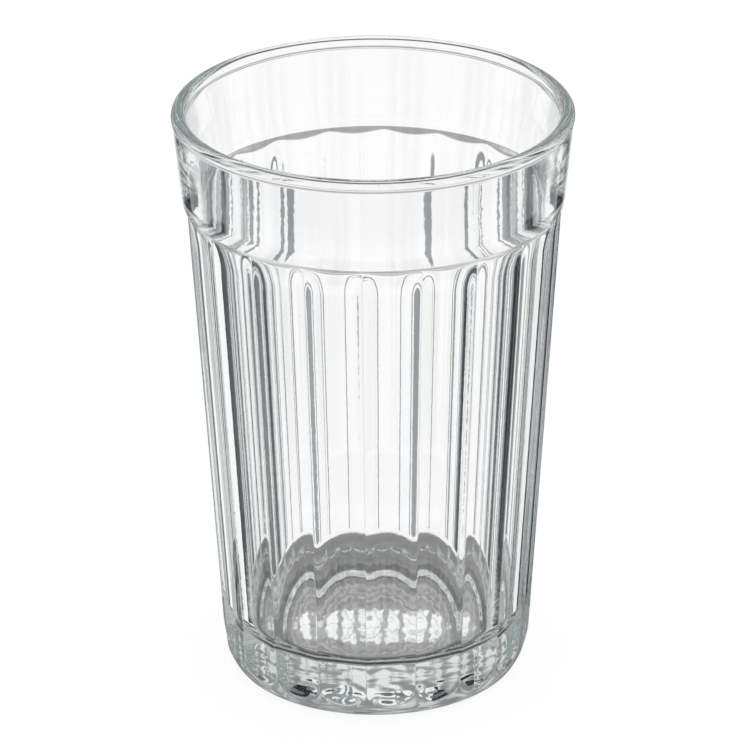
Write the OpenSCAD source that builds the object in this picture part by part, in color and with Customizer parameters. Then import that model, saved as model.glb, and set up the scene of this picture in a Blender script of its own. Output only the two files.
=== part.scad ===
// Pressed glass tumbler: a plain band under a rounded lip, with concave flutes from the band to the foot

/* [Overall] */
// Height from the table to the top of the lip
height = 100; // [85:1:125]
// Diameter over the lip
rim_d = 66; // [58:1:80]

/* [Lip and band] */
// Thickness of the rounded lip
lip_t = 2.5; // [2:0.1:3.2]
// How far the lip stands proud of the wall, inside and outside
lip_proud = 0.15; // [0.05:0.05:0.4]
// Height of the plain band, measured from the ledge to the top of the lip
band_h = 15.8; // [10:0.2:24]
// How much the radius of the band grows from the ledge to the lip
band_flare = 1.4; // [0.4:0.1:2.4]
// How far the band stands out over the ridges between the flutes
ledge_w = 0.4; // [0.2:0.1:1]
// How far the sloping underside of the ledge reaches in and down, at 45 degrees
ledge_reach = 1.8; // [1.4:0.1:2.2]

/* [Wall] */
// Thickness of the wall from the ridges to the inside
wall_t = 2.4; // [2:0.1:3.4]
// How much the radius over the ridges shrinks from the ledge to the base corner
body_taper = 5; // [2:0.2:8]

/* [Flutes] */
// Number of flutes round the glass
flute_n = 20; // [16:2:28]
// Radius of the hollow of each flute
flute_r = 28; // [25:1:80]
// Width of the ridge left between two flutes
ridge_w = 0.4; // [0.2:0.1:1]

/* [Base] */
// Height at which the wall starts to turn in to the foot
corner_h = 6.6; // [5:0.2:9]
// Radius of the rounded corner between wall and foot
corner_r = 12; // [10:0.5:16]
// Radius of the edge of the foot
foot_edge_r = 2; // [1:0.1:3]
// Width of the flat ring that the glass stands on
foot_ring_w = 2.6; // [1:0.1:5]
// Depth of the hollow under the base
dish_depth = 0.8; // [0.3:0.1:1.5]
// Width of the sloping edge of that hollow
dish_slope_w = 2.4; // [1:0.2:4]
// Height of the inside floor above the table
floor_h = 9.2; // [6:0.2:14]
// Radius of the fillet between the inside floor and the wall
floor_fillet_r = 3.6; // [2:0.2:6]

/* [Hidden] */
$fn = 120;

// One overrun lets every cutter pass the face that it opens
overrun = 3;

// Lip: the middle of its round section
lip_r = lip_t / 2;
lip_mid_r = rim_d / 2 - lip_r;
lip_mid_z = height - lip_r;

// Band: from the ledge up to the middle of the lip
ledge_z = height - band_h;
band_top_r = rim_d / 2 - lip_proud;
band_foot_r = band_top_r - band_flare;

// Cone over the ridges, and its lean from the vertical
ridge_top_r = band_foot_r - ledge_w;
ridge_foot_r = ridge_top_r - body_taper;
body_lean = atan2(body_taper, ledge_z - corner_h);

// Base corner: an arc tangent to that cone, and a smaller one tangent to it and to the table
corner_mid = [ridge_foot_r - corner_r * cos(body_lean), corner_h + corner_r * sin(body_lean)];
edge_gap = corner_r - foot_edge_r;
edge_drop = corner_mid[1] - foot_edge_r;
edge_mid = [corner_mid[0] + sqrt(edge_gap * edge_gap - edge_drop * edge_drop), foot_edge_r];
edge_turn = -asin(edge_drop / edge_gap);
arc_steps = 12;

// Hollow under the base
dish_r = edge_mid[0] - foot_ring_w;

// Inside wall, parallel to the ridges up to the ledge, then flared to the lip
inner_ledge_r = ridge_top_r - wall_t;
inner_lip_r = rim_d / 2 - lip_t + lip_proud;
inner_mid_z = floor_h + floor_fillet_r;
inner_mid_r = ridge_radius(inner_mid_z) - wall_t - floor_fillet_r / cos(body_lean);

// Points round part of a circle, from one direction to another
function arc(mid, r, from, to) = [
    for (i = [0 : arc_steps])
        let (turn = from + (to - from) * i / arc_steps)
            mid + r * [cos(turn), sin(turn)]
];

// Radius over the ridges at height z
function ridge_radius(z) = ridge_top_r - (ledge_z - z) * tan(body_lean);

// Half the width of a flute where the ridges have radius r
function flute_half_w(r) = r * sin(180 / flute_n) - ridge_w / 2;

// Radius at the bottom of a flute where the ridges have radius r
function flute_floor(r) = sqrt(r * r - pow(flute_half_w(r), 2)) - flute_r
    + sqrt(flute_r * flute_r - pow(flute_half_w(r), 2));

// The flutes lean a little more or less than the ridges, because they get narrower downwards
flute_top_r = flute_floor(ridge_top_r);
flute_foot_r = flute_floor(ridge_foot_r);
flute_lean = atan2(flute_top_r - flute_foot_r, ledge_z - corner_h);

// Outline of the solid body under the band, before the flutes
module body_outline() {
    polygon(concat(
        [[0, 0]],
        arc(edge_mid, foot_edge_r, -90, edge_turn),
        arc(corner_mid, corner_r, edge_turn, -body_lean),
        [[ridge_top_r, ledge_z], [0, ledge_z]]
    ));
}

// Outline of the band, with the sloping underside of its ledge
module band_outline() {
    polygon([
        [0, ledge_z - ledge_reach],
        [band_foot_r - ledge_reach, ledge_z - ledge_reach],
        [band_foot_r, ledge_z],
        [band_top_r, lip_mid_z],
        [0, lip_mid_z]
    ]);
}

// Outline of the inside, with its rounded floor
module inside_outline() {
    polygon(concat(
        [[0, floor_h]],
        arc([inner_mid_r, inner_mid_z], floor_fillet_r, -90, -body_lean),
        [
            [inner_ledge_r, ledge_z],
            [inner_lip_r, lip_mid_z],
            [inner_lip_r, lip_mid_z + overrun],
            [0, lip_mid_z + overrun]
        ]
    ));
}

// One round cutter along a flute, from under the foot to above the ledge
module flute_cutter() {
    reach = flute_r / cos(flute_lean) + flute_foot_r;
    translate([reach, 0, corner_h])
        rotate([0, flute_lean, 0])
            translate([0, 0, -corner_h - overrun])
                cylinder(r = flute_r, h = ledge_z + overrun + overrun);
}

// Solid body with its flutes, turned so that its start lies inside a flute
module fluted_body() {
    difference() {
        rotate([0, 0, 180 / flute_n]) rotate_extrude() body_outline();
        for (i = [0 : flute_n - 1]) {
            rotate([0, 0, (i + 1 / 2) * 360 / flute_n]) flute_cutter();
        }
    }
}

// The whole glass is pressed in one piece
module tumbler() {
    color([0.86, 0.9, 0.89, 0.45]) {
        difference() {
            union() {
                fluted_body();
                rotate_extrude() band_outline();
            }
            rotate_extrude() inside_outline();
            translate([0, 0, -overrun])
                cylinder(r = dish_r, h = overrun);
            cylinder(r1 = dish_r, r2 = dish_r - dish_slope_w, h = dish_depth);
        }
        rotate_extrude() translate([lip_mid_r, lip_mid_z]) circle(lip_r);
    }
}

tumbler();
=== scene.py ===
import math

import bmesh
import bpy
from mathutils import Matrix, Vector, noise


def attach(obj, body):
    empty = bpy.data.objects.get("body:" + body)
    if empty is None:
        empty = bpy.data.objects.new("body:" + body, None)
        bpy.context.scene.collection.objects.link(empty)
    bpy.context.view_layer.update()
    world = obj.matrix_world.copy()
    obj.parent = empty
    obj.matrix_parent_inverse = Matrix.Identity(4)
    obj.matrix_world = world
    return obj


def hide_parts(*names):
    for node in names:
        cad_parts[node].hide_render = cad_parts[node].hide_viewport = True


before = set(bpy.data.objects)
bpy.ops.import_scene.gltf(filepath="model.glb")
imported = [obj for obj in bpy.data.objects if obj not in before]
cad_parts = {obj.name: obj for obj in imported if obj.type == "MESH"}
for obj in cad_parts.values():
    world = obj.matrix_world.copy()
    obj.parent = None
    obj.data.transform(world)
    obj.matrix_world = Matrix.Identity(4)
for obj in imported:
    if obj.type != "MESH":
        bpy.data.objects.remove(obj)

scene = bpy.context.scene
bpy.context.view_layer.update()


# Tumbler: one gob of clear soda-lime glass, pressed in a mould with a plunger and fire polished.
# The mould shapes the band, its ledge and the flutes outside, and the plunger the smooth inside.
# Sizes are in millimetres, the same as the solid's; the mesh is scaled to metres once it is whole.
MM = 0.001
HEIGHT = 100.0
RIM_R = 33.0
LIP_R = 1.25
LEDGE_Z = 84.2
BAND_TOP_R = 32.85
BAND_FOOT_R = 31.45
RIDGE_TOP_R = 31.05
RIDGE_FOOT_R = 26.05
WALL_T = 2.4
CORNER_H = 6.6
CORNER_R = 12.0
FOOT_EDGE_R = 2.0
FOOT_RING_W = 2.6
DISH_DEPTH = 0.8
DISH_SLOPE_W = 2.4
FLOOR_H = 9.2
FLOOR_FILLET_R = 3.6
FLUTES = 20
FLUTE_R = 28.0
FLUTE_RUN_OUT = 5.3
FLUTE_START_SHARE = 0.25
RIDGE_ROUND = 0.24
LEDGE_SLOPE = 0.75
LEDGE_ROUND = 0.2
LEDGE_IN = 0.03
LEDGE_OUT = (0.005, 0.06)
BAND_END = (0.06, 2.1)
LIP_START = math.radians(-32)
LIP_END = math.radians(212)
FLARE_Z = 76.0
DISH_SOFT = (0.2, 0.05)
RING_SOFT_W = 0.3
FOOT_SOFT_W = 0.1
CHILL_DEPTH = 0.09
CHILL_W = 3.2

# Rows of the mesh along the profile, and its columns, which are closer together at the ridges.
UNDERSIDE_ROWS = (22, 6, 2, 3)
FOOT_EDGE_ROWS = 8
CORNER_ROWS = 26
WALL_ROWS = ((70.0, 16), (82.2, 30), (LEDGE_Z - 0.05, 16))
BAND_ROWS = 6
LIP_ROWS = 34
INSIDE_ROWS = 40
INSIDE_CROWDING = 1.3
FILLET_ROWS = 14
FLOOR_ROWS = 8
COLUMNS = FLUTES * 20
COLUMN_CROWDING = 1.6

pitch = math.tau / FLUTES
lip_mid = (RIM_R - LIP_R, HEIGHT - LIP_R)
lean = math.atan2(RIDGE_TOP_R - RIDGE_FOOT_R, LEDGE_Z - CORNER_H)
corner_mid = (RIDGE_FOOT_R - CORNER_R * math.cos(lean), CORNER_H + CORNER_R * math.sin(lean))
edge_gap = CORNER_R - FOOT_EDGE_R
edge_drop = corner_mid[1] - FOOT_EDGE_R
edge_mid = (corner_mid[0] + math.sqrt(edge_gap ** 2 - edge_drop ** 2), FOOT_EDGE_R)
edge_turn = -math.asin(edge_drop / edge_gap)


def cone_radius(height):
    """Radius over the ridges."""
    return RIDGE_TOP_R - (LEDGE_Z - height) * math.tan(lean)


def turned(mid, radius, start, end, steps):
    """Points round part of a circle in the profile."""
    angles = [start + (end - start) * i / steps for i in range(steps + 1)]
    return [(mid[0] + radius * math.cos(a), mid[1] + radius * math.sin(a)) for a in angles]


def straight(first, last, steps):
    """Points between two places in the profile, without the first."""
    shares = [i / steps for i in range(1, steps + 1)]
    return [tuple(a + (b - a) * s for a, b in zip(first, last)) for s in shares]


def blend_low(a, b, width):
    """The lower of two values, with the change between them rounded."""
    share = min(max(0.5 + 0.5 * (b - a) / width, 0.0), 1.0)
    return b * (1 - share) + a * share - width * share * (1 - share)


def pressed(radius, height, turn):
    """Radius of the mould's surface where a plain turned one has this radius."""
    cone = cone_radius(height)
    off_ridge = turn / pitch - round(turn / pitch)
    off_middle = (0.5 - abs(off_ridge)) * pitch
    half = cone * math.sin(pitch / 2)
    across = cone * math.sin(off_middle)
    below = LEDGE_Z - height
    grown = 1 - (1 - min(max(below / FLUTE_RUN_OUT, 0.0), 1.0)) ** 2
    share = FLUTE_START_SHARE + (1 - FLUTE_START_SHARE) * grown
    depth = 0.5 * (1 / FLUTE_R + 1 / cone) * share * (half ** 2 - across ** 2)
    surface = blend_low(cone - depth, radius, RIDGE_ROUND)
    ledge = BAND_FOOT_R - max(below, 0.0) * LEDGE_SLOPE
    return -blend_low(-surface, -ledge, LEDGE_ROUND)


dish_r = edge_mid[0] - FOOT_RING_W
underside_ends = (
    (dish_r - DISH_SLOPE_W, DISH_DEPTH),
    (dish_r - DISH_SOFT[0], DISH_SOFT[1]),
    (dish_r + RING_SOFT_W, 0.0),
    (edge_mid[0] - FOOT_SOFT_W, 0.0),
)
underside = [(0.0, DISH_DEPTH)]
for end, rows in zip(underside_ends, UNDERSIDE_ROWS):
    underside += straight(underside[-1], end, rows)
mould = turned(edge_mid, FOOT_EDGE_R, -math.pi / 2, edge_turn, FOOT_EDGE_ROWS)
mould += turned(corner_mid, CORNER_R, edge_turn, -lean, CORNER_ROWS)[1:]
for top, rows in WALL_ROWS:
    mould += straight(mould[-1], (cone_radius(top), top), rows)
band_foot = (BAND_FOOT_R - LEDGE_IN, LEDGE_Z - LEDGE_IN)
band = [band_foot, (BAND_FOOT_R + LEDGE_OUT[0], LEDGE_Z + LEDGE_OUT[1])]
band += straight(band[-1], (BAND_TOP_R - BAND_END[0], HEIGHT - BAND_END[1]), BAND_ROWS)
lip = turned(lip_mid, LIP_R, LIP_START, LIP_END, LIP_ROWS)
inner_top = lip[-1]
inside = []
inner_fillet_z = FLOOR_H + FLOOR_FILLET_R
flare = inner_top[0] - (cone_radius(inner_top[1]) - WALL_T)
for row in range(1, INSIDE_ROWS + 1):
    z = inner_top[1] + (inner_fillet_z - inner_top[1]) * (row / INSIDE_ROWS) ** INSIDE_CROWDING
    light_patch_share = max((z - FLARE_Z) / (inner_top[1] - FLARE_Z), 0.0)
    inside.append((cone_radius(z) - WALL_T + flare * light_patch_share ** 2, z))
fillet_mid = (inside[-1][0] - FLOOR_FILLET_R, inner_fillet_z)
inside += turned(fillet_mid, FLOOR_FILLET_R, 0.0, -math.pi / 2, FILLET_ROWS)[1:]
inside += straight(inside[-1], (0.0, FLOOR_H), FLOOR_ROWS)

# Limits that tell the mould's side, the hollow under the foot and the inside floor from the rest.
DOUBLES = 0.0005
AXIS_GAP = 0.01
TABLE_GAP = 0.001
LEDGE_GAP = 0.04
MOULD_SKIN = 1.2
DISH_LEVELS = (0.3, 1)
FLOOR_LEVELS = (5, FLOOR_H + 0.01)
bm = bmesh.new()
profile = [bm.verts.new((r, 0.0, z)) for r, z in underside + mould + band + lip + inside]
profile_edges = [bm.edges.new(pair) for pair in zip(profile, profile[1:])]
bmesh.ops.spin(bm, geom=profile + profile_edges, cent=(0, 0, 0), axis=(0, 0, 1),
               angle=math.tau, steps=COLUMNS, use_merge=True, use_duplicate=False)
bmesh.ops.remove_doubles(bm, verts=bm.verts, dist=DOUBLES)
for vert in bm.verts:
    x, y, z = vert.co
    radius = math.hypot(x, y)
    if radius < AXIS_GAP:
        continue
    turn = math.atan2(y, x)
    ridge = round(turn / pitch)
    off = turn / pitch - ridge
    turn = (ridge + math.copysign(0.5 * (abs(off) / 0.5) ** COLUMN_CROWDING, off)) * pitch
    on_wall = TABLE_GAP < z < LEDGE_Z - LEDGE_GAP and radius > cone_radius(z) - MOULD_SKIN
    on_corner = TABLE_GAP < z < CORNER_H and radius > edge_mid[0]
    if on_wall or on_corner:
        radius = pressed(radius, z, turn)
    x, y = radius * math.cos(turn), radius * math.sin(turn)
    in_dish = DISH_LEVELS[0] < z < DISH_LEVELS[1] and radius < dish_r
    on_floor = FLOOR_LEVELS[0] < z < FLOOR_LEVELS[1] and radius < fillet_mid[0]
    if in_dish or on_floor:
        z += CHILL_DEPTH * noise.noise(Vector((x, y, z)) / CHILL_W) * min(radius / CHILL_W, 1.0)
    vert.co = (x, y, z)
bmesh.ops.recalc_face_normals(bm, faces=bm.faces)
bmesh.ops.scale(bm, vec=(MM, MM, MM), verts=bm.verts)
for face in bm.faces:
    face.smooth = True
tumbler_mesh = bpy.data.meshes.new("pressed_tumbler")
bm.to_mesh(tumbler_mesh)
bm.free()
tumbler = bpy.data.objects.new("pressed_tumbler", tumbler_mesh)
scene.collection.objects.link(tumbler)

# Clear glass with a faint grey-green cast that shows where light runs a long way in it, at the
# lip and the base, and with the slight unevenness that pressing leaves on its surface.
glass = bpy.data.materials.new("clear_pressed_glass")
glass.use_nodes = True
nodes, links = glass.node_tree.nodes, glass.node_tree.links
nodes.clear()
glass_out = nodes.new("ShaderNodeOutputMaterial")
clear = nodes.new("ShaderNodeBsdfPrincipled")
clear.inputs["Base Color"].default_value = (1, 1, 1, 1)
clear.inputs["Roughness"].default_value = 0.0
clear.inputs["IOR"].default_value = 1.52
clear.inputs["Transmission Weight"].default_value = 1.0
links.new(clear.outputs["BSDF"], glass_out.inputs["Surface"])
cast = nodes.new("ShaderNodeVolumeAbsorption")
cast.inputs["Color"].default_value = (0.62, 0.78, 0.75, 1)
cast.inputs["Density"].default_value = 6.0
links.new(cast.outputs["Volume"], glass_out.inputs["Volume"])
place = nodes.new("ShaderNodeTexCoord")
waves = nodes.new("ShaderNodeTexNoise")
waves.inputs["Scale"].default_value = 700.0
waves.inputs["Detail"].default_value = 2.0
links.new(place.outputs["Object"], waves.inputs["Vector"])
uneven = nodes.new("ShaderNodeBump")
uneven.inputs["Strength"].default_value = 0.004
uneven.inputs["Distance"].default_value = 0.001
links.new(waves.outputs["Fac"], uneven.inputs["Height"])
links.new(uneven.outputs["Normal"], clear.inputs["Normal"])
tumbler_mesh.materials.append(glass)
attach(tumbler, "root")
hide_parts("tumbler")


# Surroundings: a white studio sweep with thin grey lines and wide dark screens round the glass, which
# draw its flutes, as they do in a glassware studio. The foot, low and high rows of screens repeat
# every 90 degrees, and the middle row every 45. Each stop is an angle in degrees and the grey there.
CAMERA_TURN = math.radians(3.5)
SCREEN_SHIFT = math.radians(0.8)
SCREEN_STEP = 90.0
MID_STEP = 45.0
NAVY = 0.5
NAVY_FALL = 6
WHITE = (1, 1, 1, 1)
THIN_LINE = [(0, 1), (9.9, 1), (10.3, 0.3), (11.9, 0.3), (12.3, 1), (14.5, 1), (15.3, 0.3)]
FOOT_SCREENS = THIN_LINE + [(19.5, 0.3), (21, 0.015), (34.5, 0.01), (36, 1), (45, 1)]
LOW_SCREENS = THIN_LINE + [(19.5, 0.3), (21, 0.015), (40.5, 0.01), (42.5, 0.4), (45, 0.55)]
MID_SCREENS = THIN_LINE + [(18, 0.3), (19, 0.03), (22.5, 0.03)]
FOOT_TOPS = [(-90, 1), (-22.4, 1), (-21.6, 0), (90, 0)]
MID_FOOTS = [(-90, 0), (-17.4, 0), (-16.8, 1), (90, 1)]
HIGH_SCREENS = [(0, 1), (12, 0.98), (20, 0.88), (30, 0.88), (45, 0.98)]
SCREEN_TOPS = [(-90, 1), (-31.6, 1), (-30.4, 0), (-10, 0), (-5, 1), (90, 1)]
LEVELS = [(-90, 1), (-50, 1), (-47, 0.08), (-41, 0.12), (-37, 1), (-11, 1), (-7.5, 0.4), (-3, 0.38),
          (-1.5, 0.95), (2.5, 0.95), (4.5, 0.38), (10, 0.38), (18, 0.85), (47, 0.9), (50, 0.3), (55, 0.95),
          (60, 0.3), (66, 1), (72, 0.35), (80, 1), (90, 1)]
LAMP_STEP = 15.0
LAMPS = [(0, 1), (4, 1), (6.5, 0.6), (10, 0.38), (15, 0.35)]
LAMP_LEVELS = [(-90, 0), (10, 0), (13, 1), (46, 1), (50, 0), (90, 0)]
world = bpy.data.worlds.new("studio")
scene.world = world
world.use_nodes = True
nodes, links = world.node_tree.nodes, world.node_tree.links
nodes.clear()


def sum_node(kind, first, second=None):
    """A math node with its inputs linked or set."""
    node = nodes.new("ShaderNodeMath")
    node.operation = kind
    for socket, value in zip(node.inputs, (first, second)):
        if isinstance(value, (int, float)):
            socket.default_value = value
        elif value is not None:
            links.new(value, socket)
    return node.outputs[0]


def grey_ramp(factor, stops, low, high, coolness=0.0):
    """A ramp of greys with its stops given as (value, grey), cooler where it is dark."""
    ramp = nodes.new("ShaderNodeValToRGB")
    links.new(sum_node("DIVIDE", sum_node("SUBTRACT", factor, low), high - low), ramp.inputs[0])
    elements = ramp.color_ramp.elements
    elements.remove(elements[-1])
    for index, (value, grey) in enumerate(stops):
        at = (value - low) / (high - low)
        element = elements[0] if index == 0 else elements.new(at)
        element.position = at
        cool = (1 - grey) ** NAVY_FALL * coolness
        element.color = (grey * (1 - cool), grey, grey * (1 + cool), 1)
    return ramp.outputs["Color"]


way = nodes.new("ShaderNodeTexCoord")
split = nodes.new("ShaderNodeSeparateXYZ")
links.new(way.outputs["Generated"], split.inputs[0])
azimuth = sum_node("ARCTAN2", split.outputs["X"], split.outputs["Y"])
azimuth = sum_node("ADD", azimuth, CAMERA_TURN + SCREEN_SHIFT)
azimuth = sum_node("DEGREES", azimuth)
folded = sum_node("PINGPONG", azimuth, SCREEN_STEP / 2)
mid_folded = sum_node("PINGPONG", azimuth, MID_STEP / 2)
level = sum_node("DEGREES", sum_node("ARCSINE", split.outputs["Z"]))
lamp_off = sum_node("ADD", sum_node("PINGPONG", azimuth, LAMP_STEP / 2),
                    sum_node("PINGPONG", level, LAMP_STEP / 2))


def by_level(stops):
    """A ramp of greys from straight down to straight up."""
    return grey_ramp(level, stops, -90.0, 90.0)


def mixed(share, first, second, kind="MIX"):
    """Two colours mixed or multiplied, where each colour and the share is set or linked."""
    node = nodes.new("ShaderNodeMix")
    node.data_type = "RGBA"
    node.blend_type = kind
    for name, value in (("Factor", share), ("A", first), ("B", second)):
        if isinstance(value, bpy.types.NodeSocket):
            links.new(value, node.inputs[name])
        else:
            node.inputs[name].default_value = value
    return node.outputs["Result"]


foot_row = grey_ramp(folded, FOOT_SCREENS, 0.0, SCREEN_STEP / 2, NAVY)
low_row = grey_ramp(folded, LOW_SCREENS, 0.0, SCREEN_STEP / 2, NAVY)
mid_row = grey_ramp(mid_folded, MID_SCREENS, 0.0, MID_STEP / 2, NAVY)
high_row = grey_ramp(folded, HIGH_SCREENS, 0.0, SCREEN_STEP / 2)
screens = mixed(by_level(FOOT_TOPS), low_row, foot_row)
screens = mixed(by_level(MID_FOOTS), screens, mid_row)
screens = mixed(by_level(SCREEN_TOPS), screens, high_row)
around = mixed(1.0, screens, by_level(LEVELS), "MULTIPLY")
lamps = grey_ramp(lamp_off, LAMPS, 0.0, LAMP_STEP)
around = mixed(by_level(LAMP_LEVELS), around, lamps, "MULTIPLY")
light_path = nodes.new("ShaderNodeLightPath")
backdrop = mixed(light_path.outputs["Is Camera Ray"], around, WHITE)
sky = nodes.new("ShaderNodeBackground")
world_out = nodes.new("ShaderNodeOutputWorld")
links.new(backdrop, sky.inputs["Color"])
links.new(sky.outputs["Background"], world_out.inputs["Surface"])


# Floor: a plain white sweep, which keeps a soft shadow under the glass. Seen through the glass it shows
# the surroundings, and right under the foot a painted shadow, grey with a near-black ring of painted
# contact shadow under the foot's ring, crossed by painted caustic light in rings and a wide patch of bars,
# under a net of darker caustic lines. This draws the base. The stops of the shade, the patch and its bars
# are millimetres and a grey.
FLOOR_W = 6.0
FLOOR_DROP = 0.00006
SHADE_R = 0.037
# Painted shadow under the glass: grey, with lighter rings of painted caustic light and a near-black ring
# of painted contact shadow under the foot's ring, by distance from the middle.
SHADES = [(0, 0.3), (8, 0.3), (10, 0.18), (11, 0.42), (11.6, 0.18), (13.2, 0.4), (13.8, 0.18),
          (15.4, 0.38), (16, 0.17), (18, 0.15), (18.4, 0.005), (22.4, 0.005), (22.8, 0.15), (32, 0.17),
          (37, 0.2)]
# A wide patch of painted caustic light in the middle of the painted shadow, wider along x than y, cut into
# bars of painted light.
LIGHT_PATCH_SCALE = (0.45, 1, 1)
LIGHT_PATCH = [(0, 1), (6, 1), (6.8, 0), (37, 0)]
BAR_HALF = 3.2
LIGHT_BARS = [(0, 1), (1.8, 1), (2.5, 0.12), (3.2, 0.12)]
SHADE_WOBBLE = 0.0018
# A net of darker lines laid over the painted light and shade, like the lines of a caustic.
PAINTED_CAUSTIC_NET = [(0, 0.6), (0.012, 0.75), (0.035, 1), (0.5, 1)]
bm = bmesh.new()
bmesh.ops.create_grid(bm, x_segments=1, y_segments=1, size=FLOOR_W / 2,
                      matrix=Matrix.Translation((0, 0, -FLOOR_DROP)))
floor_mesh = bpy.data.meshes.new("floor")
bm.to_mesh(floor_mesh)
bm.free()
floor = bpy.data.objects.new("floor", floor_mesh)
scene.collection.objects.link(floor)
sweep = bpy.data.materials.new("white_sweep")
sweep.use_nodes = True
nodes, links = sweep.node_tree.nodes, sweep.node_tree.links
nodes.clear()
floor_out = nodes.new("ShaderNodeOutputMaterial")
matt = nodes.new("ShaderNodeBsdfDiffuse")
matt.inputs["Color"].default_value = (0.36, 0.36, 0.36, 1)
glow = nodes.new("ShaderNodeEmission")
glow.inputs["Strength"].default_value = 0.84
lit = nodes.new("ShaderNodeAddShader")
links.new(matt.outputs[0], lit.inputs[0])
links.new(glow.outputs[0], lit.inputs[1])
# Emission that glows with the painted shadow and painted caustic light, seen only by rays through the
# glass.
shade = nodes.new("ShaderNodeEmission")
gone = nodes.new("ShaderNodeBsdfTransparent")
place = nodes.new("ShaderNodeTexCoord")
from_middle = nodes.new("ShaderNodeVectorMath")
from_middle.operation = "LENGTH"
links.new(place.outputs["Object"], from_middle.inputs[0])
# Noise that wobbles the edges of the painted shadow and painted caustic light.
shade_wobble = nodes.new("ShaderNodeTexNoise")
shade_wobble.inputs["Scale"].default_value = 420.0
shade_wobble.inputs["Detail"].default_value = 1.0
links.new(place.outputs["Object"], shade_wobble.inputs["Vector"])
ripple = sum_node("MULTIPLY", sum_node("SUBTRACT", shade_wobble.outputs["Fac"], 0.5), SHADE_WOBBLE * 2)
far = sum_node("ADD", from_middle.outputs["Value"], ripple)
outside = sum_node("GREATER_THAN", far, SHADE_R)
# Noise that draws the net of painted caustic lines.
net = nodes.new("ShaderNodeTexNoise")
net.inputs["Scale"].default_value = 190.0
net.inputs["Detail"].default_value = 2.0
net.inputs["Distortion"].default_value = 0.6
links.new(place.outputs["Object"], net.inputs["Vector"])
net_line = sum_node("ABSOLUTE", sum_node("SUBTRACT", net.outputs["Fac"], 0.5))
# Painted shadow with rings of painted caustic light and the painted contact shadow ring.
painted_shade_and_rings = grey_ramp(far, [(r * MM, grey) for r, grey in SHADES], 0.0, SHADE_R)
painted_caustic_net = grey_ramp(net_line, PAINTED_CAUSTIC_NET, 0.0, 0.5)
wide = nodes.new("ShaderNodeVectorMath")
wide.operation = "MULTIPLY"
wide.inputs[1].default_value = LIGHT_PATCH_SCALE
links.new(place.outputs["Object"], wide.inputs[0])
wide_far = nodes.new("ShaderNodeVectorMath")
wide_far.operation = "LENGTH"
links.new(wide.outputs[0], wide_far.inputs[0])
# Where the patch of painted caustic light lies.
light_patch_share = grey_ramp(sum_node("ADD", wide_far.outputs["Value"], ripple),
                       [(r * MM, grey) for r, grey in LIGHT_PATCH], 0.0, SHADE_R)
across = nodes.new("ShaderNodeSeparateXYZ")
links.new(place.outputs["Object"], across.inputs[0])
bar_at = sum_node("ADD", sum_node("ADD", across.outputs["X"], ripple), BAR_HALF * MM)
bar_off = sum_node("PINGPONG", bar_at, BAR_HALF * MM)
light_bars = grey_ramp(bar_off, [(x * MM, grey) for x, grey in LIGHT_BARS], 0.0, BAR_HALF * MM)
# The painted shadow with the patch of painted light bars laid over it, then darkened along the painted
# caustic net.
painted_shade_and_patch = mixed(sum_node("MULTIPLY", light_patch_share, light_bars), painted_shade_and_rings, WHITE)
links.new(mixed(1.0, painted_shade_and_patch, painted_caustic_net, "MULTIPLY"), shade.inputs["Color"])
through = nodes.new("ShaderNodeMixShader")
links.new(outside, through.inputs["Fac"])
links.new(shade.outputs[0], through.inputs[1])
links.new(gone.outputs[0], through.inputs[2])
light_path = nodes.new("ShaderNodeLightPath")
by_glass = sum_node("MAXIMUM", light_path.outputs["Is Transmission Ray"],
                    light_path.outputs["Is Glossy Ray"])
whole = nodes.new("ShaderNodeMixShader")
links.new(by_glass, whole.inputs["Fac"])
links.new(lit.outputs[0], whole.inputs[1])
links.new(through.outputs[0], whole.inputs[2])
links.new(whole.outputs[0], floor_out.inputs["Surface"])
floor_mesh.materials.append(sweep)


# Camera: the photograph's view, from 28 rim radii away and 24.6 degrees above the table.
# Its place, lens and shift come from a fit to the outline of the glass, the ledge and the lip.
IMAGE = 746
SENSOR = 36.0
FAR_IN_RIMS = 28
CAMERA_FAR = FAR_IN_RIMS * RIM_R * MM
CAMERA_DOWN = math.radians(24.57)
CAMERA_ROLL = math.radians(-0.3237)
PIXELS_PER_RIM_R = 197.9
MIDDLE = (374.51, 384.73)
camera_data = bpy.data.cameras.new("camera")
camera = bpy.data.objects.new("camera", camera_data)
scene.collection.objects.link(camera)
scene.camera = camera
away = Vector((0, -math.cos(CAMERA_DOWN), math.sin(CAMERA_DOWN))) * CAMERA_FAR
placed = Matrix.Translation(Vector((0, 0, HEIGHT / 2 * MM)) + away)
tilted = Matrix.Rotation(math.pi / 2 - CAMERA_DOWN, 4, "X") @ Matrix.Rotation(CAMERA_ROLL, 4, "Z")
camera.matrix_world = Matrix.Rotation(CAMERA_TURN, 4, "Z") @ placed @ tilted
camera_data.sensor_width = SENSOR
camera_data.lens = PIXELS_PER_RIM_R * FAR_IN_RIMS * SENSOR / IMAGE
camera_data.shift_x = -(MIDDLE[0] - IMAGE / 2) / IMAGE
camera_data.shift_y = (MIDDLE[1] - IMAGE / 2) / IMAGE
camera_data.clip_start = 0.05
camera_data.clip_end = 50.0

# Light crosses many surfaces of the glass, one behind another, so it is given many bounces.
BOUNCES = 64
scene.view_settings.view_transform = "Standard"
scene.cycles.max_bounces = BOUNCES
scene.cycles.transmission_bounces = BOUNCES
scene.cycles.glossy_bounces = BOUNCES
